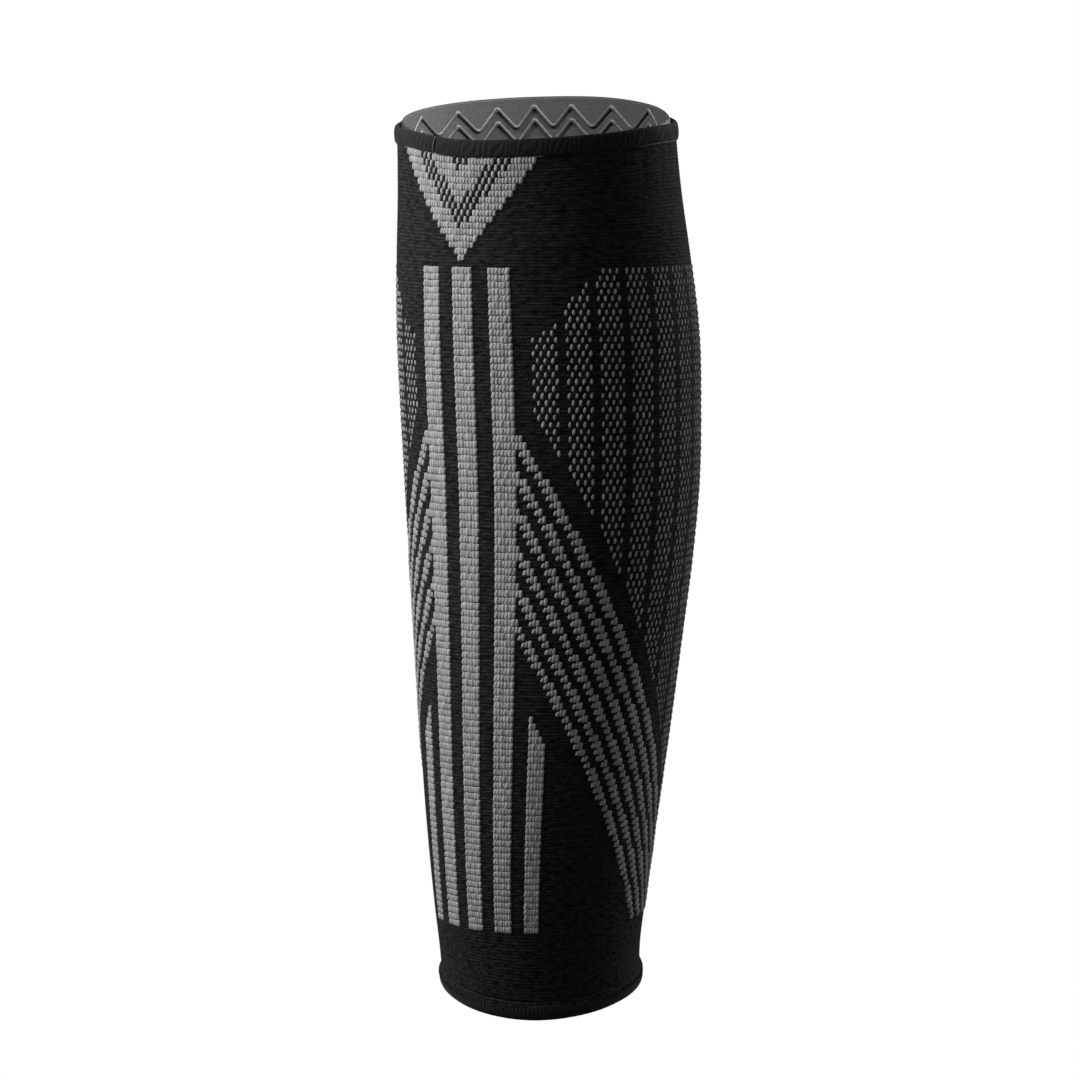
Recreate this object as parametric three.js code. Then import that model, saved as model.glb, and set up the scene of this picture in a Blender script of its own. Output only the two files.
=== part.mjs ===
// A knitted calf compression sleeve in its worn form: an open tube that follows the calf, a rolled welt round
// the top, a turned hem round the ankle, and an elastic grip band inside the top with two raised zigzags.
// Millimetres, +Z up along the leg, the shin towards -Y and the calf towards +Y. The origin lies on the leg's
// axis at the level of the grip band, which is what holds the sleeve up.
import * as THREE from "three";

// Driving sizes of the leg's form, in millimetres
const SLEEVE_HEIGHT = 338.4; // lowest place of the hem to highest place of the rim
const RIM_ABOVE_ORIGIN = 20.4; // highest place of the rim above the grip level
const CALF_HALF_WIDTH = 56.5; // side to side, at the calf's fullest
const CALF_HALF_DEPTH = 55.8; // shin to back, at the calf's fullest
const CALF_SET_BACK = 10.2; // how far the calf's fullness lies behind the leg's axis
const RIM_RISE = 17.2; // the rim climbs this much from the shin to the back
const HEM_RISE = 10; // the hem climbs this much from the instep to the heel

// Driving sizes of the pieces
const KNIT_WALL = 1.7;
const WELT_HEIGHT = 6.3;
const WELT_BULGE = 1.0; // how far the welt stands out over the knitted wall
const HEM_HEIGHT = 7.6;
const HEM_BULGE = 1.1;
const HEM_FOLD = 0.4; // how far the turned hem's inner layer stands in from the knitted wall
const BAND_HEIGHT = 22;
const BAND_WALL = 0.8;
const BEAD_WIDTH = 1.5;
const BEAD_RISE = 0.7;
const BEAD_SHOULDER = { side: 0.7, rise: 0.75 }; // shares of its half width and rise where its top begins
const ZIGZAG_COUNT = 16;
const ZIGZAG_HEIGHT = 7.4; // valley to peak, along the bead's middle
const ZIGZAG_BELOW_LINE = 4; // the upper bead's peaks below the zigzags' line
const ZIGZAG_NESTING = 5.2; // the lower bead's peaks below the upper one's
const ZIGZAG_FIRST_PEAK = 212.7; // degrees round the leg
const ZIGZAG_SIDE_STRETCH = 7.8; // degrees: the band is drawn out at two opposite sides of the leg
const GAP = 0.3; // between neighbouring pieces

// How finely the round forms are divided
const SIDES = 64;
const WALL_LEVELS = 23;
const ROLL_STEPS = 5;
const FULL_TURN = 360;

// Sections of the leg from hem to rim. Height is a share of SLEEVE_HEIGHT, the others of the calf's sizes.
const SECTIONS = [
  { height: 0.0, width: 0.64, depth: 0.724, back: 0.36 },
  { height: 0.05, width: 0.642, depth: 0.731, back: 0.21 },
  { height: 0.11, width: 0.68, depth: 0.776, back: 0.21 },
  { height: 0.2, width: 0.747, depth: 0.828, back: 0.32 },
  { height: 0.3, width: 0.816, depth: 0.879, back: 0.53 },
  { height: 0.4, width: 0.878, depth: 0.923, back: 0.74 },
  { height: 0.5, width: 0.94, depth: 0.965, back: 0.93 },
  { height: 0.58, width: 0.978, depth: 0.988, back: 0.99 },
  { height: 0.66, width: 0.995, depth: 0.997, back: 0.89 },
  { height: 0.74, width: 1.0, depth: 0.994, back: 0.72 },
  { height: 0.82, width: 0.973, depth: 0.959, back: 0.43 },
  { height: 0.9, width: 0.932, depth: 0.918, back: 0.13 },
  { height: 0.96, width: 0.914, depth: 0.902, back: -0.07 },
  { height: 1.0, width: 0.911, depth: 0.899, back: -0.2 },
];

// How the edges climb round the leg, every 30 degrees from the shin: rim is the grip band's upper edge, welt the
// welt's top and grip the zigzags' line, as shares of the rim's rise, and hem the hem as a share of its own.
// The welt covers the band's edge at the shin, and the edge stands out over the welt at the back.
const EDGE_CLIMBS = [
  { angle: 0, rim: 0.01, welt: 0.035, grip: 0.05, hem: 0.16 },
  { angle: 30, rim: 0.02, welt: 0.05, grip: 0.06, hem: 0.0 },
  { angle: 60, rim: 0.13, welt: 0.165, grip: 0.2, hem: 0.09 },
  { angle: 90, rim: 0.3, welt: 0.325, grip: 0.4, hem: 0.32 },
  { angle: 120, rim: 0.514, welt: 0.42, grip: 0.63, hem: 0.55 },
  { angle: 150, rim: 0.794, welt: 0.61, grip: 0.9, hem: 0.8 },
  { angle: 180, rim: 0.973, welt: 0.8, grip: 0.99, hem: 0.95 },
  { angle: 210, rim: 0.99, welt: 0.85, grip: 1.01, hem: 1.0 },
  { angle: 240, rim: 0.901, welt: 0.76, grip: 0.89, hem: 0.98 },
  { angle: 270, rim: 0.717, welt: 0.57, grip: 0.77, hem: 0.9 },
  { angle: 300, rim: 0.474, welt: 0.355, grip: 0.56, hem: 0.73 },
  { angle: 330, rim: 0.19, welt: 0.235, grip: 0.26, hem: 0.47 },
];

const HEM_LOWEST = RIM_ABOVE_ORIGIN - SLEEVE_HEIGHT;
const RIM_LOWEST = RIM_ABOVE_ORIGIN - RIM_RISE;

// A smooth curve through four neighbouring values, at t from the second to the third.
function throughFour(a, b, c, d, t) {
  const straight = b + (c - b) * t;
  const bend = (t - 1) * t * ((a - 2 * b + c) * (t - 1) - (b - 2 * c + d) * t);
  return straight - bend / 2;
}

// The leg's section at a height: half width, half depth and set back, in millimetres.
function legSection(z) {
  const share = (z - HEM_LOWEST) / SLEEVE_HEIGHT;
  const last = SECTIONS.length - 1;
  const inside = THREE.MathUtils.clamp(share, 0, 1);
  const i = Math.min(last - 1, Math.max(0, SECTIONS.findLastIndex((row) => row.height <= inside)));
  const [low, high] = [SECTIONS[i], SECTIONS[i + 1]];
  const t = (inside - low.height) / (high.height - low.height);
  const [before, after] = [SECTIONS[Math.max(0, i - 1)], SECTIONS[Math.min(last, i + 2)]];
  const at = (column) => throughFour(before[column], low[column], high[column], after[column], t);
  return {
    halfWidth: CALF_HALF_WIDTH * at("width"),
    halfDepth: CALF_HALF_DEPTH * at("depth"),
    setBack: CALF_SET_BACK * at("back"),
  };
}

// How far an edge has climbed at an angle round the leg, as a share of its rise.
function climb(column, angle) {
  const count = EDGE_CLIMBS.length;
  const place = ((((angle / FULL_TURN) * count) % count) + count) % count;
  const i = Math.floor(place);
  const row = (k) => EDGE_CLIMBS[(i + k + count) % count][column];
  return throughFour(row(-1), row(0), row(1), row(2), place - i);
}

const rimHeight = (angle) => RIM_LOWEST + RIM_RISE * climb("rim", angle);
const weltTop = (angle) => RIM_LOWEST + RIM_RISE * climb("welt", angle);
const gripLine = (angle) => RIM_LOWEST + RIM_RISE * climb("grip", angle);
const hemHeight = (angle) => HEM_LOWEST + HEM_RISE * climb("hem", angle);

// A point at an angle round the leg and a height, lying outside the knitted wall's outer face by out.
function pointOnLeg(angle, z, out) {
  const turn = THREE.MathUtils.degToRad(angle);
  const { halfWidth, halfDepth, setBack } = legSection(z);
  return [(halfWidth + out) * Math.sin(turn), setBack - (halfDepth + out) * Math.cos(turn), z];
}

// A closed ring body: loops of points round the leg, each a closed outline of equal length.
function ringGeometry(loops) {
  const size = loops[0].length;
  const positions = loops.flat(2);
  const index = [];
  loops.forEach((_, j) => {
    const next = (j + 1) % loops.length;
    for (let i = 0; i < size; i += 1) {
      const after = (i + 1) % size;
      const [a, b] = [j * size + i, j * size + after];
      const [c, d] = [next * size + i, next * size + after];
      index.push(a, c, b, b, c, d);
    }
  });
  const geometry = new THREE.BufferGeometry();
  geometry.setAttribute("position", new THREE.Float32BufferAttribute(positions, 3));
  geometry.setIndex(index);
  geometry.computeVertexNormals();
  return geometry;
}

// A ring whose outline at each angle is a list of { out, z }, going up the outside and down the inside.
function ringAroundLeg(outlineAt) {
  const loops = Array.from({ length: SIDES }, (_, j) => {
    const angle = (j / SIDES) * FULL_TURN;
    return outlineAt(angle).map(({ out, z }) => pointOnLeg(angle, z, out));
  });
  return ringGeometry(loops);
}

// A wall between two heights, with its outer and inner faces at fixed distances from the leg's outer form.
function wallOutline(bottom, top, outerOut, innerOut, levels) {
  const heights = Array.from({ length: levels }, (_, i) => bottom + ((top - bottom) * i) / (levels - 1));
  const outer = heights.map((z) => ({ out: outerOut, z }));
  const inner = heights.toReversed().map((z) => ({ out: innerOut, z }));
  return [...outer, ...inner];
}

// A roll with a flat inner face and a bulging outer face, as a turned and stitched edge has.
function rollOutline(bottom, top, bulge, inner) {
  const middle = (bottom + top) / 2;
  const reach = (top - bottom) / 2;
  const outer = Array.from({ length: ROLL_STEPS }, (_, i) => {
    const turn = -Math.PI / 2 + (Math.PI * (i + 0.5)) / ROLL_STEPS;
    return { out: bulge * Math.cos(turn), z: middle + reach * Math.sin(turn) };
  });
  return [{ out: inner / 2, z: bottom }, ...outer, { out: inner / 2, z: top }, { out: inner, z: top - GAP },
    { out: inner, z: bottom + GAP }];
}

function knitSleeve() {
  return ringAroundLeg((angle) => {
    const bottom = hemHeight(angle) + HEM_HEIGHT + GAP;
    const top = weltTop(angle) - WELT_HEIGHT - GAP;
    return wallOutline(bottom, top, 0, -KNIT_WALL, WALL_LEVELS);
  });
}

function topWelt() {
  return ringAroundLeg((angle) => {
    const top = weltTop(angle);
    return rollOutline(top - WELT_HEIGHT, top, WELT_BULGE, -KNIT_WALL);
  });
}

function bottomWelt() {
  return ringAroundLeg((angle) => {
    const bottom = hemHeight(angle);
    return rollOutline(bottom, bottom + HEM_HEIGHT, HEM_BULGE, -KNIT_WALL - HEM_FOLD);
  });
}

const BAND_OUTER = -KNIT_WALL - GAP;
const BAND_INNER = BAND_OUTER - BAND_WALL;
const BAND_LEVELS = 3;

function gripBand() {
  return ringAroundLeg((angle) => {
    const top = rimHeight(angle);
    return wallOutline(top - BAND_HEIGHT, top, BAND_OUTER, BAND_INNER, BAND_LEVELS);
  });
}

// The angle round the leg of a place along a zigzag, counted in zigzags from its first peak.
function zigzagAngle(place) {
  const even = (place / ZIGZAG_COUNT) * FULL_TURN;
  const stretch = ZIGZAG_SIDE_STRETCH * Math.sin(THREE.MathUtils.degToRad(2 * even));
  return ZIGZAG_FIRST_PEAK + even - stretch;
}

// A raised bead on the grip band's inner face, which zigzags round the leg below the zigzags' line.
function zigzagBead(belowLine) {
  const radius = CALF_HALF_WIDTH * SECTIONS.at(-1).width + BAND_INNER;
  const arcOf = (angle) => THREE.MathUtils.degToRad(angle) * radius;
  const halfWidth = BEAD_WIDTH / 2;
  // The bead's outline across its run: side is along the band, out is towards the leg.
  const outline = [
    { side: -halfWidth, out: 0 },
    { side: halfWidth, out: 0 },
    { side: halfWidth * BEAD_SHOULDER.side, out: -BEAD_RISE * BEAD_SHOULDER.rise },
    { side: 0, out: -BEAD_RISE },
    { side: -halfWidth * BEAD_SHOULDER.side, out: -BEAD_RISE * BEAD_SHOULDER.rise },
  ];
  const quarters = Array.from({ length: ZIGZAG_COUNT * 4 }, (_, i) => i);
  const heightShare = [1, 0.5, 0, 0.5]; // peak, halfway down, valley, halfway up
  const loops = quarters.map((i) => {
    const angle = zigzagAngle(i / 4);
    const run = arcOf(zigzagAngle((i + 1) / 4) - zigzagAngle((i - 1) / 4)) / 2;
    const climbNext = (heightShare[(i + 1) % 4] - heightShare[i % 4]) * ZIGZAG_HEIGHT;
    const climbLast = (heightShare[i % 4] - heightShare[(i + 3) % 4]) * ZIGZAG_HEIGHT;
    const next = new THREE.Vector2(run, climbNext).normalize();
    const last = new THREE.Vector2(run, climbLast).normalize();
    const along = next.clone().add(last).normalize();
    const across = new THREE.Vector2(-along.y, along.x);
    const miter = 1 / along.dot(next);
    const middle = -belowLine - ZIGZAG_HEIGHT * (1 - heightShare[i % 4]);
    return outline.map(({ side, out }) => {
      const turned = angle + THREE.MathUtils.radToDeg((across.x * side * miter) / radius);
      const z = gripLine(turned) + middle + across.y * side * miter;
      return pointOnLeg(turned, z, BAND_INNER - GAP + out);
    });
  });
  return ringGeometry(loops);
}

const BLACK_KNIT = { color: 0x17171a, roughness: 0.92, metalness: 0 };
const BLACK_WELT = { color: 0x1b1b1d, roughness: 0.85, metalness: 0 };
const GREY_ELASTIC = { color: 0x5c5c5c, roughness: 0.8, metalness: 0 };
const SILICONE = { color: 0x6a6a6a, roughness: 0.35, metalness: 0 };

function named(name, geometry, finish) {
  const mesh = new THREE.Mesh(geometry, new THREE.MeshStandardMaterial(finish));
  mesh.name = name;
  return mesh;
}

const sleeve = new THREE.Group();
sleeve.add(
  named("knit_sleeve", knitSleeve(), BLACK_KNIT),
  named("top_welt", topWelt(), BLACK_WELT),
  named("bottom_welt", bottomWelt(), BLACK_WELT),
  named("grip_band", gripBand(), GREY_ELASTIC),
  named("grip_zigzag_upper", zigzagBead(ZIGZAG_BELOW_LINE), SILICONE),
  named("grip_zigzag_lower", zigzagBead(ZIGZAG_BELOW_LINE + ZIGZAG_NESTING), SILICONE),
);

export default sleeve;
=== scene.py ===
"""A knitted calf compression sleeve in its worn form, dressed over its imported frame.

Metres, +Z up along the leg, the shin towards -Y and the calf towards +Y. The knit is counted as a knitter
counts it: wales run up the leg and are numbered from the shin line, rows run round it and are numbered down
from the top of the front bars. Angles round the leg are in degrees from the shin, growing towards +X.
"""

import logging
import math
from collections.abc import Iterable, Iterator, Sequence
from dataclasses import dataclass, field
from enum import Enum
from typing import ClassVar

import bpy
import numpy as np
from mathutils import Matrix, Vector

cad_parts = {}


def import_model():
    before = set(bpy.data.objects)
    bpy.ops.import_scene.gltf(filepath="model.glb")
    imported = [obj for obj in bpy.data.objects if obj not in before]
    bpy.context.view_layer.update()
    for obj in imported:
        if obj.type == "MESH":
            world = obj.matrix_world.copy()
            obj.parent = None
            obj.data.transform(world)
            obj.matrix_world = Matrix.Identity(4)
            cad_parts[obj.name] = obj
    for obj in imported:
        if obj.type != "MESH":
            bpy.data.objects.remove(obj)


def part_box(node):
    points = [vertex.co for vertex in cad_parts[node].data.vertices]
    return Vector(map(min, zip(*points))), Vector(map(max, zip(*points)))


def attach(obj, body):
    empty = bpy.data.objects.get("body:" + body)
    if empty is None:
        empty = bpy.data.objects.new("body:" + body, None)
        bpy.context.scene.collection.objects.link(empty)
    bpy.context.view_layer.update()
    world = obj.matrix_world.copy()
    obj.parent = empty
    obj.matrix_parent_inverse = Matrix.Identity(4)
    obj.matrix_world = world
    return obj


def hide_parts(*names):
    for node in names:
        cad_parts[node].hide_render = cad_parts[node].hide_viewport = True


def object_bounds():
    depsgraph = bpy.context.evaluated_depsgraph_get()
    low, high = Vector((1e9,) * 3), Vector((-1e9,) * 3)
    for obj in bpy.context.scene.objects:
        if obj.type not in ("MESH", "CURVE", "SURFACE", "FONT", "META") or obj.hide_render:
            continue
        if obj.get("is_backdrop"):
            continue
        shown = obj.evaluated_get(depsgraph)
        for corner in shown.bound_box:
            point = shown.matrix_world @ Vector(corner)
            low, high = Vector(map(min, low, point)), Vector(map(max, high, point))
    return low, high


LOG = logging.getLogger("sleeve")
MM = 0.001
FULL_TURN = 360.0
WALES = 256
ROWS_ABOVE = 17.3
PATTERN_ROWS = 97
ROWS_BELOW = 10.4
COURSES = 2 * (ROWS_ABOVE + PATTERN_ROWS + ROWS_BELOW)


def smooth(at: np.ndarray, places: Sequence[float], values: Sequence[float]) -> np.ndarray:
    """Follow a smooth curve through given points.

    Args:
        at: Where the curve is read.
        places: The points' places, growing.
        values: The points' values.

    Returns:
        The curve's value at each place asked for.
    """
    known = np.asarray(places, float)
    height = np.asarray(values, float)
    slope = np.gradient(height, known)
    inside = np.clip(at, known[0], known[-1])
    i = np.clip(np.searchsorted(known, inside, side="right") - 1, 0, len(known) - 2)
    step = known[i + 1] - known[i]
    t = (inside - known[i]) / step
    start = (1 + 2 * t) * (1 - t) ** 2 * height[i] + t * (1 - t) ** 2 * step * slope[i]
    end = t * t * (3 - 2 * t) * height[i + 1] + t * t * (t - 1) * step * slope[i + 1]
    return start + end


def unit(vectors: np.ndarray) -> np.ndarray:
    """Scale vectors to length one."""
    return vectors / np.linalg.norm(vectors, axis=-1, keepdims=True)


@dataclass(frozen=True)
class Section:
    """The leg's section at a height, as shares of the leg's named sizes."""

    height: float
    width: float
    depth: float
    back: float


@dataclass(frozen=True)
class Climb:
    """How far the band's rim, the welt, the zigzags' line and the hem have climbed, each as a share."""

    angle: float
    rim: float
    welt: float
    grip: float
    hem: float


SECTIONS = (
    Section(0.0, 0.64, 0.724, 0.36),
    Section(0.05, 0.642, 0.731, 0.21),
    Section(0.11, 0.68, 0.776, 0.21),
    Section(0.2, 0.747, 0.828, 0.32),
    Section(0.3, 0.816, 0.879, 0.53),
    Section(0.4, 0.878, 0.923, 0.74),
    Section(0.5, 0.94, 0.965, 0.93),
    Section(0.58, 0.978, 0.988, 0.99),
    Section(0.66, 0.995, 0.997, 0.89),
    Section(0.74, 1.0, 0.994, 0.72),
    Section(0.82, 0.973, 0.959, 0.43),
    Section(0.9, 0.932, 0.918, 0.13),
    Section(0.96, 0.914, 0.902, -0.07),
    Section(1.0, 0.911, 0.899, -0.2),
)

CLIMBS = (
    Climb(0, 0.01, 0.035, 0.05, 0.16),
    Climb(30, 0.02, 0.05, 0.06, 0.0),
    Climb(60, 0.13, 0.165, 0.2, 0.09),
    Climb(90, 0.3, 0.325, 0.4, 0.32),
    Climb(120, 0.514, 0.42, 0.63, 0.55),
    Climb(150, 0.794, 0.61, 0.9, 0.8),
    Climb(180, 0.973, 0.8, 0.99, 0.95),
    Climb(210, 0.99, 0.85, 1.01, 1.0),
    Climb(240, 0.901, 0.76, 0.89, 0.98),
    Climb(270, 0.717, 0.57, 0.77, 0.9),
    Climb(300, 0.474, 0.355, 0.56, 0.73),
    Climb(330, 0.19, 0.235, 0.26, 0.47),
)


@dataclass
class Leg:
    """The form that the sleeve has on a leg, with its slanting rim and hem."""

    height: float
    rim_above_origin: float
    half_width: float
    half_depth: float = 55.8 * MM
    set_back: float = 10.2 * MM
    rim_rise: float = 17.2 * MM
    hem_rise: float = 10 * MM
    arc_levels: int = 80
    arc_steps: int = 720
    _turns: np.ndarray = field(init=False, repr=False)

    def __post_init__(self) -> None:
        """Work out which angle lies at each share of the girth, at a ladder of heights."""
        heights = np.linspace(self.lowest, self.rim_above_origin, self.arc_levels)
        turns = np.linspace(0, FULL_TURN, self.arc_steps + 1)
        shares = np.linspace(0, 1, self.arc_steps + 1)
        ring = self.point(turns[None, :], heights[:, None], 0)
        lengths = np.linalg.norm(np.diff(ring, axis=1), axis=2)
        walked = np.concatenate([np.zeros((self.arc_levels, 1)), np.cumsum(lengths, axis=1)], axis=1)
        walked /= walked[:, -1:]
        self._turns = np.array([np.interp(shares, row, turns) for row in walked])

    @property
    def lowest(self) -> float:
        """Height of the hem's lowest place."""
        return self.rim_above_origin - self.height

    def section(self, z: np.ndarray) -> tuple[np.ndarray, np.ndarray, np.ndarray]:
        """Measure the leg at some heights.

        Args:
            z: The heights.

        Returns:
            The half width, the half depth and the set back at each height.
        """
        share = (z - self.lowest) / self.height
        places = [row.height for row in SECTIONS]
        width = self.half_width * smooth(share, places, [row.width for row in SECTIONS])
        depth = self.half_depth * smooth(share, places, [row.depth for row in SECTIONS])
        back = self.set_back * smooth(share, places, [row.back for row in SECTIONS])
        return width, depth, back

    def _climb(self, turn: np.ndarray, column: str) -> np.ndarray:
        """Follow an edge round the leg.

        Args:
            turn: The angles.
            column: The edge's column in the table of climbs.

        Returns:
            The edge's climb at each angle, as a share of its rise.
        """
        rows = (*CLIMBS[-2:], *CLIMBS, *CLIMBS[:3])
        step = FULL_TURN / len(CLIMBS)
        places = [step * (i - 2) for i in range(len(rows))]
        return smooth(np.mod(turn, FULL_TURN), places, [getattr(row, column) for row in rows])

    def _near_rim(self, turn: np.ndarray, column: str) -> np.ndarray:
        """Height of one of the edges near the rim at each angle."""
        return self.rim_above_origin - self.rim_rise * (1 - self._climb(turn, column))

    def rim(self, turn: np.ndarray) -> np.ndarray:
        """Height of the grip band's upper edge at each angle."""
        return self._near_rim(turn, "rim")

    def welt(self, turn: np.ndarray) -> np.ndarray:
        """Height of the welt's top at each angle, above the band's edge at the shin and below it behind."""
        return self._near_rim(turn, "welt")

    def grip(self, turn: np.ndarray) -> np.ndarray:
        """Height of the line that the zigzags follow at each angle."""
        return self._near_rim(turn, "grip")

    def hem(self, turn: np.ndarray) -> np.ndarray:
        """Height of the hem at each angle."""
        return self.lowest + self.hem_rise * self._climb(turn, "hem")

    def point(self, turn: np.ndarray, z: np.ndarray, out: np.ndarray | float) -> np.ndarray:
        """Give points on the leg.

        Args:
            turn: Angles round the leg, in degrees.
            z: Heights.
            out: How far outside the knit's outer face the points lie.

        Returns:
            The points, with X, Y and Z along the last axis.
        """
        width, depth, back = self.section(z)
        angle = np.radians(turn)
        x = (width + out) * np.sin(angle)
        y = back - (depth + out) * np.cos(angle)
        return np.stack(np.broadcast_arrays(x, y, z), axis=-1)

    def turn_of(self, share: np.ndarray, z: np.ndarray) -> np.ndarray:
        """Walk round the leg along the knit, from the shin line.

        Args:
            share: How far to walk, as shares of the girth.
            z: The heights at which to walk.

        Returns:
            The angle that each walk ends at.
        """
        level = np.clip((z - self.lowest) / self.height, 0, 1) * (self.arc_levels - 1)
        low = np.minimum(level.astype(int), self.arc_levels - 2)
        place = np.mod(share, 1) * self.arc_steps
        step = np.minimum(place.astype(int), self.arc_steps - 1)
        up, along = level - low, place - step
        at_low = self._turns[low, step] * (1 - along) + self._turns[low, step + 1] * along
        at_high = self._turns[low + 1, step] * (1 - along) + self._turns[low + 1, step + 1] * along
        return at_low * (1 - up) + at_high * up


@dataclass(frozen=True)
class RowLevel:
    """The height of the upper edge of a row of the knit."""

    row: float
    z: float


@dataclass
class Gauge:
    """Where each wale and row of the knit lies on the leg."""

    leg: Leg
    welt_cover: float = 5.8 * MM
    hem_cover: float = 7.2 * MM
    levels: tuple[RowLevel, ...] = (
        RowLevel(0, -41.5 * MM),
        RowLevel(16, -80.7 * MM),
        RowLevel(32, -122.3 * MM),
        RowLevel(48, -165.4 * MM),
        RowLevel(64, -206.0 * MM),
        RowLevel(80, -244.9 * MM),
        RowLevel(PATTERN_ROWS, -284.5 * MM),
    )

    def height(self, row: np.ndarray, turn: np.ndarray) -> np.ndarray:
        """Find rows: level in the pattern, and tilting evenly to just under the welt and the hem.

        Args:
            row: The rows.
            turn: The angles at which they are wanted.

        Returns:
            The height of each row at its angle.
        """
        first, last = self.levels[0], self.levels[-1]
        level = smooth(row, [knot.row for knot in self.levels], [knot.z for knot in self.levels])
        above = (self.leg.welt(turn) - self.welt_cover - first.z) / ROWS_ABOVE
        below = (last.z - self.leg.hem(turn) - self.hem_cover) / ROWS_BELOW
        up = np.maximum(first.row - row, 0)
        down = np.maximum(row - last.row, 0)
        return level + up * above - down * below

    def place(self, wale: np.ndarray, row: np.ndarray) -> tuple[np.ndarray, np.ndarray]:
        """Find places in the knit.

        Args:
            wale: The places' wales.
            row: The places' rows.

        Returns:
            The angle and the height of each place.
        """
        share = wale / WALES
        rough = self.height(row, np.mod(share, 1) * FULL_TURN)
        turn = self.leg.turn_of(share, rough)
        z = self.height(row, turn)
        return self.leg.turn_of(share, z), z

    def point(self, wale: np.ndarray, row: np.ndarray, out: np.ndarray | float) -> np.ndarray:
        """Give the point of a place in the knit, lying outside it by out."""
        turn, z = self.place(wale, row)
        return self.leg.point(turn, z, out)


class Graph:
    """A node tree that is written as short calls."""

    def __init__(self, tree: bpy.types.NodeTree) -> None:
        """Take an empty tree."""
        self.tree = tree

    def add(
        self, kind: str, inputs: dict[str | int, object] | None = None, **settings: object
    ) -> bpy.types.Node:
        """Add a node.

        Args:
            kind: The node's type name.
            inputs: Values or other nodes' outputs, by the input's name or number.
            settings: The node's own properties.

        Returns:
            The node.
        """
        node = self.tree.nodes.new(kind)
        for name, value in settings.items():
            setattr(node, name, value)
        for key, value in (inputs or {}).items():
            if isinstance(value, bpy.types.NodeSocket):
                self.tree.links.new(value, node.inputs[key])
            else:
                node.inputs[key].default_value = value
        return node

    def math(self, operation: str, *values: object) -> bpy.types.NodeSocket:
        """Add a Math node and give its result."""
        return self.add("ShaderNodeMath", dict(enumerate(values)), operation=operation).outputs[0]

    def arches(self, count: bpy.types.NodeSocket) -> bpy.types.NodeSocket:
        """Give a rounded arch for each whole number that is counted, from 0 at its ends to 1."""
        return self.math("ABSOLUTE", self.math("SINE", self.math("MULTIPLY", count, math.pi)))

    def place(self) -> bpy.types.NodeSocket:
        """Give the places on the piece, in its own coordinates."""
        return self.add("ShaderNodeTexCoord").outputs["Object"]

    def scaled(
        self, vector: bpy.types.NodeSocket, scale: tuple[float, float, float]
    ) -> bpy.types.NodeSocket:
        """Scale a vector along each axis."""
        return self.add("ShaderNodeMapping", {"Vector": vector, "Scale": scale}).outputs[0]

    def noise(
        self, vector: bpy.types.NodeSocket, scale: float, detail: float = 2.0, roughness: float = 0.6
    ) -> bpy.types.NodeSocket:
        """Give a soft random value for each place."""
        inputs = {"Vector": vector, "Scale": scale, "Detail": detail, "Roughness": roughness}
        return self.add("ShaderNodeTexNoise", inputs).outputs[0]


class Slot(Enum):
    """The record's material slots."""

    KNIT = "black_knit"
    WELT = "black_welt"
    ELASTIC = "grey_elastic"
    SILICONE = "silicone"


@dataclass(frozen=True)
class Finish:
    """What every finish shares: a name, the record's slot, and a plain surface."""

    name: str
    slot: Slot
    colour: tuple[float, float, float]
    roughness: float
    specular: float = 0.3
    sheen: float = 0.0
    darkest: float = 0.75
    lightest: float = 1.25

    def surface(self) -> tuple[bpy.types.Material, Graph, bpy.types.Node]:
        """Make the plain surface.

        Returns:
            The material, its tree and its shader.
        """
        material = bpy.data.materials.new(self.name)
        material.use_nodes = True
        material.node_tree.nodes.clear()
        graph = Graph(material.node_tree)
        inputs = {
            "Base Color": (*self.colour, 1),
            "Roughness": self.roughness,
            "Specular IOR Level": self.specular,
            "Sheen Weight": self.sheen,
        }
        shader = graph.add("ShaderNodeBsdfPrincipled", inputs)
        graph.add("ShaderNodeOutputMaterial", {"Surface": shader.outputs[0]})
        return material, graph, shader

    def tint(self, graph: Graph, shader: bpy.types.Node, amount: bpy.types.NodeSocket) -> None:
        """Vary the colour between its darkest and its lightest share.

        Args:
            graph: The material's tree.
            shader: Its shader.
            amount: What drives the change, from 0 to 1.
        """
        ramp = graph.add("ShaderNodeValToRGB", {"Fac": amount})
        for stop, share in zip(ramp.color_ramp.elements, (self.darkest, self.lightest)):
            stop.color = (*(share * value for value in self.colour), 1)
        graph.tree.links.new(ramp.outputs["Color"], shader.inputs["Base Color"])

    @staticmethod
    def bump(graph: Graph, shader: bpy.types.Node, height: bpy.types.NodeSocket, depth: float) -> None:
        """Raise the surface by a height from 0 to 1, with depth in metres."""
        node = graph.add("ShaderNodeBump", {"Height": height, "Distance": depth, "Strength": 1.0})
        graph.tree.links.new(node.outputs["Normal"], shader.inputs["Normal"])


@dataclass(frozen=True)
class YarnFinish(Finish):
    """Knitted-in grey yarn, a little different from stitch to stitch, with fine fibres."""

    fibre_scale: float = 1700.0
    fibre_stretch: tuple[float, float, float] = (1, 1, 0.45)
    fibre_depth: float = 0.16 * MM
    fibre_share: float = 0.6
    darkest: float = 0.6
    lightest: float = 1.36

    def material(self) -> bpy.types.Material:
        """Make the yarn's material.

        Returns:
            The material.
        """
        material, graph, shader = self.surface()
        tone = graph.add("ShaderNodeAttribute", attribute_name="tone").outputs["Fac"]
        fibres = graph.noise(graph.scaled(graph.place(), self.fibre_stretch), self.fibre_scale)
        own_share = graph.math("MULTIPLY", tone, 1 - self.fibre_share)
        self.tint(graph, shader, graph.math("MULTIPLY_ADD", fibres, self.fibre_share, own_share))
        self.bump(graph, shader, fibres, self.fibre_depth)
        return material


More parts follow.
